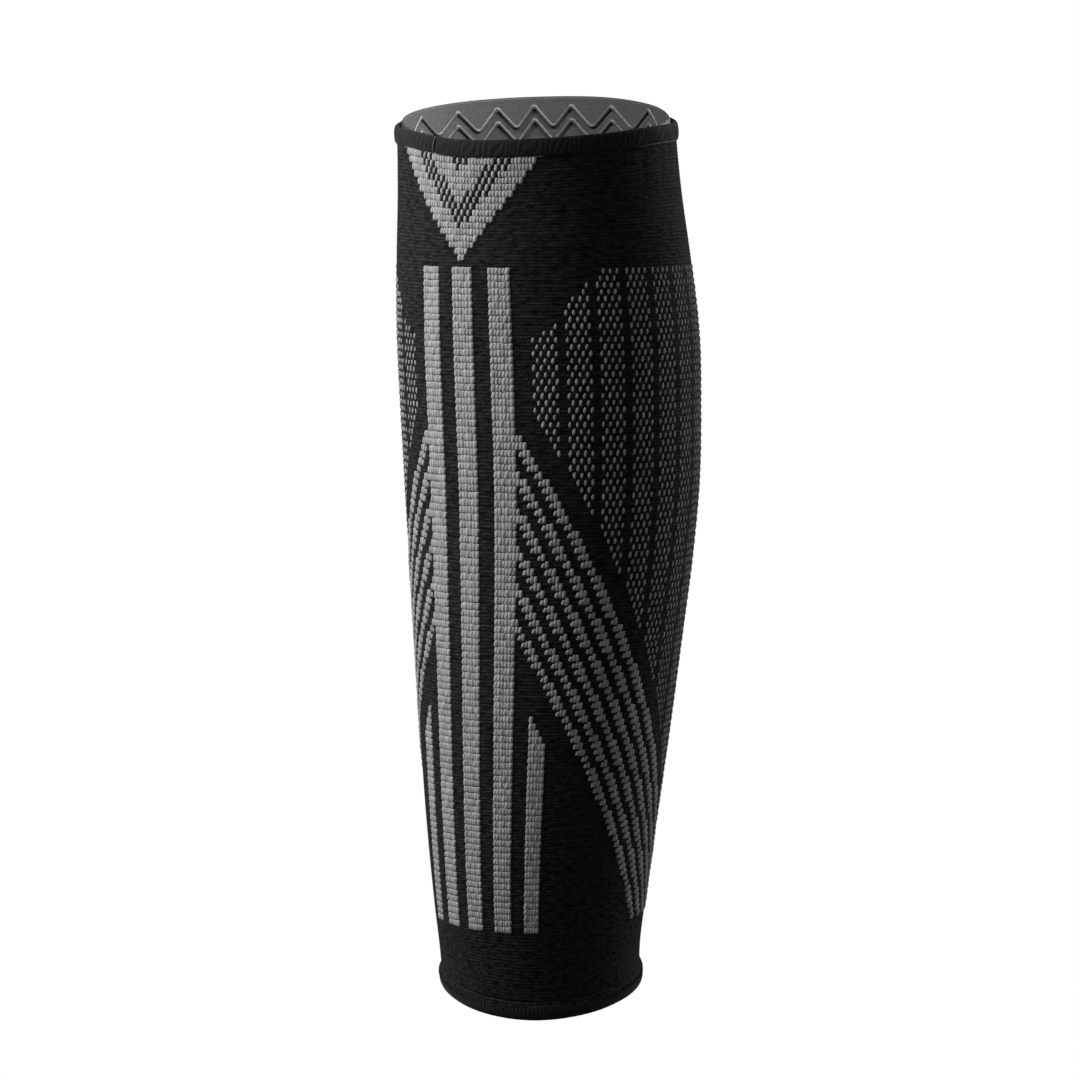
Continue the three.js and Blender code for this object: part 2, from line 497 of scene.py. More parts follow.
@dataclass(frozen=True)
class KnitFinish(Finish):
    """Fine black knit: small stitches, two courses to a row of the pattern, with pits between them, and
    painted shade that darkens its colour in the pits.
    """

    stitch_depth: float = 0.45 * MM
    wale_fall: float = 0.5
    stitch_share: float = 0.8
    run_length: float = 0.45
    run_scale: float = 0.8
    unevenness: float = 2.8
    patch_scale: float = 90.0
    patch_share: float = 0.25
    shade: float = 0.06
    darkest: float = 0.2
    lightest: float = 2.8

    def material(self) -> bpy.types.Material:
        """Make the knit's material, counted on the piece's own map of wales and courses, with shade painted
        into its pits.

        Returns:
            The material.
        """
        material, graph, shader = self.surface()
        knit = graph.add("ShaderNodeUVMap", uv_map="knit").outputs[0]
        counted = graph.scaled(knit, (WALES, COURSES, 1))
        parts = graph.add("ShaderNodeSeparateXYZ", {"Vector": counted})
        wale, course = parts.outputs[0], parts.outputs[1]
        odd = graph.math("PINGPONG", graph.math("FLOOR", course), 1.0)
        across = graph.arches(graph.math("MULTIPLY_ADD", odd, 0.5, wale))
        full = graph.math("MULTIPLY_ADD", across, self.wale_fall, 1 - self.wale_fall)
        stitch = graph.math("MULTIPLY", full, graph.arches(course))
        runs = graph.noise(graph.scaled(counted, (self.run_length, 1, 1)), self.run_scale)
        uneven = graph.math("MULTIPLY_ADD", runs, self.unevenness, 0.5 - self.unevenness / 2)
        raised = graph.math("MULTIPLY_ADD", stitch, self.stitch_share, 1 - self.stitch_share)
        height = graph.math("MULTIPLY", raised, uneven)
        patches = graph.noise(graph.place(), self.patch_scale, 3.0)
        # Painted shade: the colour follows the stitch height, darkest in the pits between stitches and
        # courses; the runs' unevenness and the patches add the knit's own random tone.
        pit_shaded_tone = graph.math("SUBTRACT", height, self.shade)
        self.tint(graph, shader, graph.math("MULTIPLY_ADD", patches, self.patch_share, pit_shaded_tone))
        self.bump(graph, shader, height, self.stitch_depth)
        return material


@dataclass(frozen=True)
class PlainKnitFinish(Finish):
    """Fine plain cloth of a rolled edge or an elastic: a close grain that runs along Z or round the leg."""

    grain_scale: float = 1500.0
    grain_stretch: tuple[float, float, float] = (1, 1, 1)
    grain_depth: float = 0.06 * MM

    def material(self) -> bpy.types.Material:
        """Make the cloth's material.

        Returns:
            The material.
        """
        material, graph, shader = self.surface()
        grain = graph.noise(graph.scaled(graph.place(), self.grain_stretch), self.grain_scale, 3.0, 0.65)
        self.tint(graph, shader, grain)
        self.bump(graph, shader, grain, self.grain_depth)
        return material


GREY_YARN = YarnFinish("grey yarn", Slot.KNIT, (0.3, 0.3, 0.3), 0.85, 0.15, 0.05)
BLACK_KNIT = KnitFinish("black knit", Slot.KNIT, (0.0135, 0.0135, 0.014), 0.8, 0.035, 0.015)
BLACK_WELT = PlainKnitFinish(
    "black welt", Slot.WELT, (0.0155, 0.0155, 0.016), 0.75, 0.05, 0.05, darkest=0.3, lightest=1.7,
    grain_depth=0.12 * MM,
)
WELT_THREAD = PlainKnitFinish("welt thread", Slot.WELT, (0.075, 0.075, 0.077), 0.6, 0.2)
HEM_THREAD = PlainKnitFinish("hem thread", Slot.WELT, (0.02, 0.02, 0.021), 0.65, 0.1)
ELASTIC = PlainKnitFinish(
    "grey elastic", Slot.ELASTIC, (0.103, 0.103, 0.103), 0.85, 0.15, darkest=0.55, lightest=1.45,
    grain_scale=1000.0, grain_stretch=(0.7, 0.7, 1.4), grain_depth=0.1 * MM,
)
SILICONE = PlainKnitFinish(
    "silicone", Slot.SILICONE, (0.115, 0.115, 0.115), 0.38, 0.5, darkest=0.95, lightest=1.05,
    grain_scale=300.0, grain_depth=0.01 * MM,
)


def solid(
    name: str,
    points: np.ndarray | Sequence[Sequence[float]],
    faces: Sequence[Sequence[int]],
    finishes: Sequence[bpy.types.Material] = (),
    shown: bool = True,
) -> bpy.types.Object:
    """Make a smooth object from points and faces.

    Args:
        name: The object's name.
        points: The points, in any nesting.
        faces: Each face's points, by number.
        finishes: The object's materials.
        shown: Whether it stands in the scene, and isn't only a shape that others repeat.

    Returns:
        The object.
    """
    mesh = bpy.data.meshes.new(name)
    mesh.from_pydata(np.reshape(points, (-1, 3)).tolist(), [], faces)
    mesh.polygons.foreach_set("use_smooth", np.ones(len(faces), bool))
    for material in finishes:
        mesh.materials.append(material)
    mesh.update()
    piece = bpy.data.objects.new(name, mesh)
    if shown:
        bpy.context.scene.collection.objects.link(piece)
    return piece


def tube_faces(sides: int, rings: int) -> list[list[int]]:
    """Join rings of points into a tube that is closed at both ends.

    Args:
        sides: How many points each ring has.
        rings: How many rings there are.

    Returns:
        Each face's points, by number.
    """
    faces = [list(range(sides))[::-1], [(rings - 1) * sides + k for k in range(sides)]]
    for ring in range(rings - 1):
        for k in range(sides):
            a, b = ring * sides + k, ring * sides + (k + 1) % sides
            faces.append([a, b, b + sides, a + sides])
    return faces


def ring_object(
    name: str,
    loops: np.ndarray,
    finishes: Sequence[bpy.types.Material],
    rows: np.ndarray | None = None,
    finish_of: np.ndarray | None = None,
) -> bpy.types.Object:
    """Make a closed ring body from outlines round the leg.

    Args:
        name: The piece's name.
        loops: Points, by place round the leg, then by place in the outline, up outside and down inside.
        finishes: The piece's materials.
        rows: The height of each outline place on the knit's map, from 0 to 1, if it needs one.
        finish_of: Which material each outline step takes, if there are several.

    Returns:
        The object.
    """
    count, size = loops.shape[:2]
    j, i = np.meshgrid(np.arange(count), np.arange(size), indexing="ij")
    after, beside = (i + 1) % size, (j + 1) % count
    corners = [j * size + i, beside * size + i, beside * size + after, j * size + after]
    piece = solid(name, loops, np.stack(corners, axis=-1).reshape(-1, 4).tolist(), finishes)
    if finish_of is not None:
        taken = np.tile(finish_of, count).astype(np.int32)
        piece.data.polygons.foreach_set("material_index", taken)
    if rows is not None:
        across = np.stack([j, j + 1, j + 1, j], axis=-1) / count
        along = np.stack([rows[i], rows[i], rows[after], rows[after]], axis=-1)
        knit = piece.data.uv_layers.new(name="knit")
        knit.data.foreach_set("uv", np.stack([across, along], axis=-1).reshape(-1).astype(np.float32))
    piece.data.update()
    return piece


def sweep(
    name: str, path: np.ndarray, width: float, material: bpy.types.Material, sides: int = 8
) -> bpy.types.Object:
    """Make a round thread along a short path, with tapered ends.

    Args:
        name: The piece's name.
        path: The points along its middle.
        width: How thick it is.
        material: Its material.
        sides: How many sides its section has.

    Returns:
        The thread.
    """
    ahead = unit(np.gradient(path, axis=0))
    outward = unit(path * np.array([1, 1, 0]))
    across = unit(np.cross(ahead, outward))
    outward = np.cross(across, ahead)
    share = np.linspace(-1, 1, len(path))
    bluntness, thinnest = 4, 0.02
    radius = width / 2 * np.sqrt(np.maximum(1 - np.abs(share) ** bluntness, thinnest))
    angle = (np.arange(sides) * 2 * math.pi / sides)[None, :, None]
    rim = across[:, None] * np.cos(angle) + outward[:, None] * np.sin(angle)
    faces = [face[::-1] for face in tube_faces(sides, len(path))]
    return solid(name, path[:, None] + rim * radius[:, None, None], faces, [material])


@dataclass(frozen=True)
class Cell:
    """One stitch of the pattern, in wales and rows, with its size as shares of a cell and its own lean."""

    wale: int
    row: int
    width: float = 1.0
    length: float = 1.0
    lean: float = 0.0
    drop: float = 0.0

    def mirrored(self) -> "Cell":
        """Give the stitch's mirror image over the shin line."""
        return Cell(-1 - self.wale, self.row, self.width, self.length, -self.lean, self.drop)


@dataclass(frozen=True)
class Stripe:
    """A slanting stripe: the row it starts at, and where it starts and how it spreads along its staircase."""

    start: int
    phase: float
    spread: float


@dataclass(frozen=True)
class PanelCorner:
    """The first wale of the side panel at a row, where its top corner is cut."""

    row: int
    wale: int


@dataclass
class Chart:
    """The knitter's chart of the grey pattern, one side of it, which the other side mirrors."""

    rows: range = range(PATTERN_ROWS)
    centre_bar: range = range(-3, 3)
    side_bar: range = range(8, 14)
    chevron_rows: range = range(1, 19)
    chevron_slope: float = 1.5
    speckled_band: int = 6
    inner_band: int = 10
    heart: int = 15
    lone_width: float = 0.8
    short_bar: range = range(19, 24)
    short_bar_start: int = 63
    stripe_foot: int = 14
    stripe_run: float = 6.5
    stripes: tuple[Stripe, ...] = (
        Stripe(23, -0.4, 1.0),
        Stripe(29, 6.1, 2.2),
        Stripe(34, 5.7, 2.2),
        Stripe(39, 5.3, 2.2),
        Stripe(44, 4.7, 2.2),
        Stripe(49, 4.2, 2.2),
    )
    taper_width: float = 0.95
    taper_length: float = 0.72
    taper_lean: float = 16.0
    taper_drop: float = 0.12
    panel_first: int = 19
    panel_pitch: int = 9
    panel_wales: int = 7
    panel_groups: int = 12
    panel_foot: int = 26
    panel_step: int = 8
    panel_taper: int = 4
    panel_corner: tuple[PanelCorner, ...] = (
        PanelCorner(0, 39),
        PanelCorner(1, 38),
        PanelCorner(2, 34),
        PanelCorner(3, 33),
        PanelCorner(4, 30),
        PanelCorner(5, 29),
        PanelCorner(6, 28),
        PanelCorner(8, 25),
        PanelCorner(9, 22),
        PanelCorner(10, 19),
    )

    @staticmethod
    def both_sides(cells: Iterable[Cell]) -> Iterator[Cell]:
        """Give each cell and its mirror image over the shin line."""
        for cell in cells:
            yield from (cell, cell.mirrored())

    def _inside(self, reach: float, row: int, first: int, margin: float) -> bool:
        """Tell whether a stitch lies inside the V that starts at one of the chevron's rows."""
        return row >= first and reach <= self.chevron_slope * (row - first) + margin

    def chevron(self) -> Iterator[Cell]:
        """Chart the chevron above the bars: a band, a speckled band, a band and a speckled heart.

        Returns:
            The stitches.
        """
        for row in self.chevron_rows:
            half = int(self.chevron_slope * row) + 2
            for wale in range(-half, half):
                reach = abs(wale + 0.5)
                if not self._inside(reach, row, 1, 0.5):
                    continue
                speckled = self._inside(reach, row, self.speckled_band, 1)
                band = self._inside(reach, row, self.inner_band, 0.5)
                heart = self._inside(reach, row, self.heart, 1)
                even = (wale + row) % 2 == 0
                left_black = even if heart else not band and speckled and not even
                alone = heart or (speckled and not band)
                if not left_black:
                    yield Cell(wale, -(row + 1), self.lone_width if alone else 1.0)

    def bars(self) -> Iterator[Cell]:
        """Chart the centre bar, the two beside it and the short bars at the foot.

        Returns:
            The stitches.
        """
        for row in self.rows:
            yield from (Cell(wale, row) for wale in self.centre_bar)
            yield from self.both_sides(Cell(wale, row) for wale in self.side_bar)
            grown = row - self.short_bar_start + 1
            yield from self.both_sides(Cell(wale, row) for wale in self.short_bar[: max(grown, 0)])

    def slanting(self) -> Iterator[Cell]:
        """Chart the six stripes a side that run down and away from the side bars.

        Returns:
            The stitches.
        """
        taper = (self.taper_width, self.taper_length, self.taper_lean, self.taper_drop)
        for stripe in self.stripes:
            for row in range(stripe.start, self.rows.stop):
                down = row - stripe.start
                end = down + 1 + math.floor((down + stripe.phase) / self.stripe_run)
                first = down - 2 + math.floor((down + stripe.phase + stripe.spread) / self.stripe_run)
                start = max(0, first)
                for step in range(start, end):
                    tapered = step == start and step > 0
                    cell = Cell(self.stripe_foot + step, row, *(taper if tapered else ()))
                    yield from self.both_sides([cell])

    def speckles(self) -> Iterator[Cell]:
        """Chart the side panels: groups of seven wales of staggered single stitches, to a slanting foot.

        Returns:
            The stitches.
        """
        for row in self.rows:
            cut = [corner.wale for corner in self.panel_corner if corner.row <= row][-1]
            for group in range(self.panel_groups):
                foot = self.panel_foot + self.panel_step * group
                if row > foot:
                    continue
                lowest = row - foot + self.panel_wales - 1 if row >= foot - self.panel_taper else 0
                for offset in range(row % 2, self.panel_wales, 2):
                    wale = self.panel_first + self.panel_pitch * group + offset
                    if offset >= lowest and wale >= cut:
                        yield from self.both_sides([Cell(wale, row)])


@dataclass(frozen=True)
class StitchLook:
    """How a run of stitches varies, and its finish."""

    finish: bpy.types.Material
    seed: int
    lean_spread: float = 7.0
    size_spread: float = 0.1


@dataclass
class StitchPoints:
    """Places for stitches: where, which way is up and out, how large and how far they lean."""

    places: np.ndarray
    upward: np.ndarray
    outward: np.ndarray
    size: np.ndarray
    lean: np.ndarray

    def carrier(self, name: str) -> bpy.types.Object:
        """Make a mesh of bare points that carries the places and their attributes.

        Args:
            name: The object's name.

        Returns:
            The object.
        """
        mesh = bpy.data.meshes.new(name)
        mesh.from_pydata(self.places.tolist(), [], [])
        for word in ("upward", "outward", "size", "lean"):
            values = getattr(self, word).astype(np.float32)
            kind, key = ("FLOAT_VECTOR", "vector") if values.ndim > 1 else ("FLOAT", "value")
            mesh.attributes.new(word, kind, "POINT").data.foreach_set(key, values.ravel())
        piece = bpy.data.objects.new(name, mesh)
        bpy.context.scene.collection.objects.link(piece)
        return piece


@dataclass(frozen=True)
class StitchShape:
    """One stitch of unit size: a full, rounded grain whose top leans to the right, sunk into the cloth."""

    stations: tuple[float, ...] = (-0.5, -0.3, 0.02, 0.32, 0.5)
    fullness: tuple[float, ...] = (0.48, 0.88, 1.0, 0.9, 0.52)
    slant: float = 0.16
    sunk: float = -0.5
    half: float = 0.5
    shoulder_half: float = 0.42
    shoulder: float = 0.78

    def build(self, name: str) -> bpy.types.Object:
        """Make the stitch as a closed mesh.

        Args:
            name: The object's name.

        Returns:
            The object, outside the scene.
        """
        outline = (
            (-self.half, self.sunk),
            (self.half, self.sunk),
            (self.shoulder_half, self.shoulder),
            (0.0, 1.0),
            (-self.shoulder_half, self.shoulder),
        )
        points = [
            (across * math.sqrt(full) + self.slant * along, along, up * full if up > 0 else up)
            for along, full in zip(self.stations, self.fullness)
            for across, up in outline
        ]
        return solid(name, points, tube_faces(len(outline), len(self.stations)), shown=False)


GRAIN = StitchShape(
    stations=(-0.4, -0.16, 0.16, 0.4), fullness=(0.4, 1.0, 1.0, 0.4), slant=0.24, shoulder=0.45
)


class StitchTree:
    """Geometry Nodes that set one stitch on each point, turned and sized as the point says."""

    INPUTS: ClassVar[dict[str, str]] = {
        "Points": "NodeSocketGeometry",
        "Stitch": "NodeSocketObject",
        "Finish": "NodeSocketMaterial",
        "Lean spread": "NodeSocketFloat",
        "Size spread": "NodeSocketFloat",
        "Seed": "NodeSocketInt",
    }

    def __init__(self) -> None:
        """Build the tree."""
        self.tree = bpy.data.node_groups.new("stitch run", "GeometryNodeTree")
        self.graph = Graph(self.tree)
        sockets = {
            name: self.tree.interface.new_socket(name, in_out="INPUT", socket_type=kind)
            for name, kind in self.INPUTS.items()
        }
        self.sockets = {name: socket.identifier for name, socket in sockets.items()}
        self.source = self.graph.add("NodeGroupInput").outputs
        self.tree.interface.new_socket("Geometry", in_out="OUTPUT", socket_type="NodeSocketGeometry")
        graph, source = self.graph, self.source
        shape = graph.add("GeometryNodeObjectInfo", {"Object": source["Stitch"]})
        setting = {
            "Points": source["Points"],
            "Instance": shape.outputs["Geometry"],
            "Rotation": self._rotation(),
            "Scale": self._scale(),
        }
        instances = graph.add("GeometryNodeInstanceOnPoints", setting).outputs[0]
        tone = graph.add(
            "GeometryNodeStoreNamedAttribute",
            {"Geometry": instances, "Name": "tone", "Value": self._random(0.0, 1.0, 3)},
            data_type="FLOAT",
            domain="INSTANCE",
        )
        real = graph.add("GeometryNodeRealizeInstances", {"Geometry": tone.outputs[0]})
        dressing = {"Geometry": real.outputs[0], "Material": source["Finish"]}
        graph.add("NodeGroupOutput", {0: graph.add("GeometryNodeSetMaterial", dressing).outputs[0]})

    def _rotation(self) -> bpy.types.NodeSocket:
        """Turn each stitch outwards and up, and lean it.

        Returns:
            The rotations.
        """
        axes = self.graph.add(
            "FunctionNodeAxesToRotation",
            {
                "Primary Axis": self._attribute("outward", "FLOAT_VECTOR"),
                "Secondary Axis": self._attribute("upward", "FLOAT_VECTOR"),
            },
            primary_axis="Z",
            secondary_axis="Y",
        )
        lean = self.graph.math("ADD", self._attribute("lean", "FLOAT"), self._spread("Lean spread", 1))
        turn = self.graph.add("ShaderNodeCombineXYZ", {"Z": self.graph.math("MULTIPLY", lean, -1.0)})
        turning = {"Rotation": axes.outputs[0], "Rotate By": turn.outputs[0]}
        return self.graph.add("FunctionNodeRotateRotation", turning, rotation_space="LOCAL").outputs[0]

    def _scale(self) -> bpy.types.NodeSocket:
        """Size each stitch, a little more or less than its point says.

        Returns:
            The scales.
        """
        grown = self.graph.math("ADD", self._spread("Size spread", 2), 1.0)
        sizing = {"Vector": self._attribute("size", "FLOAT_VECTOR"), "Scale": grown}
        return self.graph.add("ShaderNodeVectorMath", sizing, operation="SCALE").outputs[0]

    def _attribute(self, name: str, kind: str) -> bpy.types.NodeSocket:
        """Read a point's named attribute."""
        node = self.graph.add("GeometryNodeInputNamedAttribute", {"Name": name}, data_type=kind)
        return node.outputs["Attribute"]

    def _random(self, low: object, high: object, draw: int) -> bpy.types.NodeSocket:
        """Give each point a random number between low and high, for one of the tree's draws."""
        inputs = {2: low, 3: high, "Seed": self.graph.math("ADD", self.source["Seed"], float(draw))}
        return self.graph.add("FunctionNodeRandomValue", inputs, data_type="FLOAT").outputs[1]

    def _spread(self, name: str, draw: int) -> bpy.types.NodeSocket:
        """Give each point a random number as far as the named input either way."""
        most = self.source[name]
        return self._random(self.graph.math("MULTIPLY", most, -1.0), most, draw)

    def run(
        self, name: str, points: StitchPoints, shape: bpy.types.Object, look: StitchLook
    ) -> bpy.types.Object:
        """Set stitches on points, as one plain mesh.

        Args:
            name: The piece's name.
            points: Where the stitches go.
            shape: One stitch.
            look: How they vary, and their finish.

        Returns:
            The piece.
        """
        piece = points.carrier(name)
        modifier = piece.modifiers.new("stitches", "NODES")
        modifier.node_group = self.tree
        modifier[self.sockets["Stitch"]] = shape
        modifier[self.sockets["Finish"]] = look.finish
        modifier[self.sockets["Lean spread"]] = math.radians(look.lean_spread)
        modifier[self.sockets["Size spread"]] = look.size_spread
        modifier[self.sockets["Seed"]] = look.seed
        seen = piece.evaluated_get(bpy.context.evaluated_depsgraph_get())
        mesh = bpy.data.meshes.new_from_object(seen)
        piece.modifiers.clear()
        bare, piece.data = piece.data, mesh
        bpy.data.meshes.remove(bare)
        mesh.name = name
        return piece


@dataclass(frozen=True)
class Run:
    """A part of the grey pattern: its stitches, their shape, their width in wales and their rise."""

    name: str
    cells: Iterator[Cell]
    shape: bpy.types.Object
    spread: float
    rise: float
    seed: int


@dataclass
class KnitTube:
    """The black knitted tube between the welt and the hem, with its grey pattern."""

    gauge: Gauge
    wall: float = 1.7 * MM
    columns: int = 128
    rings_a_row: int = 4
    inner_levels: int = 44
    course_depth: float = 0.15 * MM
    stitch_rise: float = 0.42 * MM
    speckle_rise: float = 0.2 * MM
    yarn_shift: float = -0.25

    def ground(self, material: bpy.types.Material) -> bpy.types.Object:
        """Knit the black ground: a wall whose outer face has a ridge for every course.

        Args:
            material: The black knit.

        Returns:
            The ground.
        """
        top, bottom = -ROWS_ABOVE, PATTERN_ROWS + ROWS_BELOW
        rings = round((bottom - top) * self.rings_a_row)
        outer_rows = np.linspace(bottom, top, rings + 1)
        inner_rows = np.linspace(top, bottom, self.inner_levels)
        outer_out = np.where(np.arange(rings + 1) % 2 == 0, -self.course_depth, 0.0)
        rows = np.concatenate([outer_rows, inner_rows])
        out = np.concatenate([outer_out, np.full(self.inner_levels, -self.wall)])
        wale, row = np.meshgrid(np.arange(self.columns) * WALES / self.columns, rows, indexing="ij")
        share = (bottom - rows) / (bottom - top)
        return ring_object("black_ground", self.gauge.point(wale, row, out[None, :]), [material], share)

    def cells(self, cells: Sequence[Cell], spread: float, rise: float) -> StitchPoints:
        """Turn charted cells into places on the leg.

        Args:
            cells: The cells.
            spread: A stitch's width as a share of its wale.
            rise: How far a stitch stands out over the black ground's ridges.

        Returns:
            The places.
        """
        wale = np.array([cell.wale + 0.5 + self.yarn_shift for cell in cells])
        row = np.array([cell.row + 0.5 + cell.drop for cell in cells])
        at = self.gauge.point(wale, row, -self.course_depth)
        above, below = self.gauge.point(wale, row - 0.5, 0), self.gauge.point(wale, row + 0.5, 0)
        left, right = self.gauge.point(wale - 0.5, row, 0), self.gauge.point(wale + 0.5, row, 0)
        upward, across = above - below, right - left
        outward = unit(np.cross(across, upward))
        width = np.linalg.norm(across, axis=1) * spread * np.array([cell.width for cell in cells])
        length = np.linalg.norm(upward, axis=1) * np.array([cell.length for cell in cells])
        size = np.stack([width, length, np.full(len(cells), rise + self.course_depth)], axis=1)
        return StitchPoints(at, unit(upward), outward, size, np.radians([cell.lean for cell in cells]))

    def pattern(self, tree: StitchTree, chart: Chart, finish: bpy.types.Material) -> list[bpy.types.Object]:
        """Knit in the grey pattern.

        Args:
            tree: What sets the stitches.
            chart: The pattern's chart.
            finish: The grey yarn.

        Returns:
            The chevron, the bars, the stripes and the speckles.
        """
        full = StitchShape().build("full stitch")
        single = GRAIN.build("grain stitch")
        runs = (
            Run("grey_chevron", chart.chevron(), full, spread=1.3, rise=self.stitch_rise, seed=11),
            Run("grey_bars", chart.bars(), full, spread=1.4, rise=self.stitch_rise, seed=12),
            Run("grey_stripes", chart.slanting(), full, spread=1.15, rise=self.stitch_rise, seed=13),
            Run("grey_speckles", chart.speckles(), single, spread=0.86, rise=self.speckle_rise, seed=14),
        )
        made = []
        for run in runs:
            points = self.cells(list(run.cells), run.spread, run.rise)
            made.append(tree.run(run.name, points, run.shape, StitchLook(finish, run.seed)))
            LOG.info("%s: %d stitches", run.name, len(points.places))
        for shape in (full, single):
            bpy.data.objects.remove(shape)
        return made


@dataclass
class TopWelt:
    """The rolled and ribbed welt round the rim, with the thread that closes its seam."""

    leg: Leg
    height: float = 6.3 * MM
    bulge: float = 1.0 * MM
    bulge_round: float = 0.7
    inner: float = -1.7 * MM
    inner_edge: float = 0.06
    ribs: int = 138
    columns_a_rib: int = 6
    steps: int = 14
    rib_depth: float = 0.24 * MM
    rib_waver: float = 0.45
    waver_counts: tuple[int, int] = (17, 29)
    slant: float = 1.3
    seam_angle: float = -12.5
    seam_lean: float = 2.8
    seam_dent: float = 0.35 * MM
    seam_reach: float = 1.1
    thread_width: float = 0.65 * MM
    thread_ends: tuple[float, float] = (0.02, 0.98)
    thread_points: int = 14
    edge_thread: tuple[float, float] = (74.0, 128.0)
    edge_thread_width: float = 0.5 * MM
    edge_thread_height: float = 0.03
    edge_thread_points: int = 40

    def outline(self, turn: np.ndarray, s: np.ndarray) -> tuple[np.ndarray, np.ndarray]:
        """Give the roll's outer face.

        Args:
            turn: Angles round the leg.
            s: Places up the face, from 0 to 1.

        Returns:
            How far out and how high each place is.
        """
        half = self.height / 2
        angle = (s - 0.5) * math.pi
        from_seam = np.mod(turn - self._seam_turn(s) + FULL_TURN / 2, FULL_TURN) - FULL_TURN / 2
        dent = self.seam_dent * np.exp(-((from_seam / self.seam_reach) ** 2))
        out = self.bulge * np.cos(angle) ** self.bulge_round - dent
        return out, self.leg.welt(turn) - half + half * np.sin(angle)

    def _seam_turn(self, s: np.ndarray) -> np.ndarray:
        """Give the seam's angle at each place up the face."""
        return self.seam_angle + self.seam_lean * (s - 0.5)

    def roll(self, material: bpy.types.Material) -> bpy.types.Object:
        """Make the welt, its ribs slanting up its outer face.

        Args:
            material: The welt's cloth.

        Returns:
            The welt.
        """
        count = self.ribs * self.columns_a_rib
        turn = np.arange(count)[:, None] * FULL_TURN / count
        s = np.linspace(0, 1, self.steps + 1)[None, :]
        out, z = self.outline(turn, s)
        round_leg = np.radians(turn)
        slow, quick = self.waver_counts
        waver = self.rib_waver * (np.sin(slow * round_leg) + np.sin(quick * round_leg + 2 * s))
        phase = turn * self.ribs / FULL_TURN - self.slant * (s - 0.5) + waver
        rib = self.rib_depth * (0.5 + 0.5 * np.cos(2 * math.pi * phase)) ** 2 * np.sin(math.pi * s)
        outer = self.leg.point(turn + 0 * s, z, out - rib)
        edge = self.height * self.inner_edge
        inner_z = np.concatenate([z[:, -1:] - edge, z[:, :1] + edge], axis=1)
        inner = self.leg.point(turn + 0 * inner_z, inner_z, self.inner)
        return ring_object("rolled_welt", np.concatenate([outer, inner], axis=1), [material])

    def seam(self, material: bpy.types.Material) -> bpy.types.Object:
        """Make the short thread that crosses the welt at its seam.

        Args:
            material: The thread's finish.

        Returns:
            The thread.
        """
        s = np.linspace(*self.thread_ends, self.thread_points)
        turn = self._seam_turn(s)
        out, z = self.outline(turn, s)
        path = self.leg.point(turn, z, out + self.thread_width / 4)
        return sweep("seam_thread", path, self.thread_width, material)

    def edging(self, material: bpy.types.Material) -> bpy.types.Object:
        """Make the thread that shows along the welt's lower edge at the side.

        Args:
            material: The thread's finish.

        Returns:
            The thread.
        """
        turn = np.linspace(*self.edge_thread, self.edge_thread_points)
        out, z = self.outline(turn, np.full(len(turn), self.edge_thread_height))
        return sweep("welt_edge_thread", self.leg.point(turn, z, out), self.edge_thread_width, material)


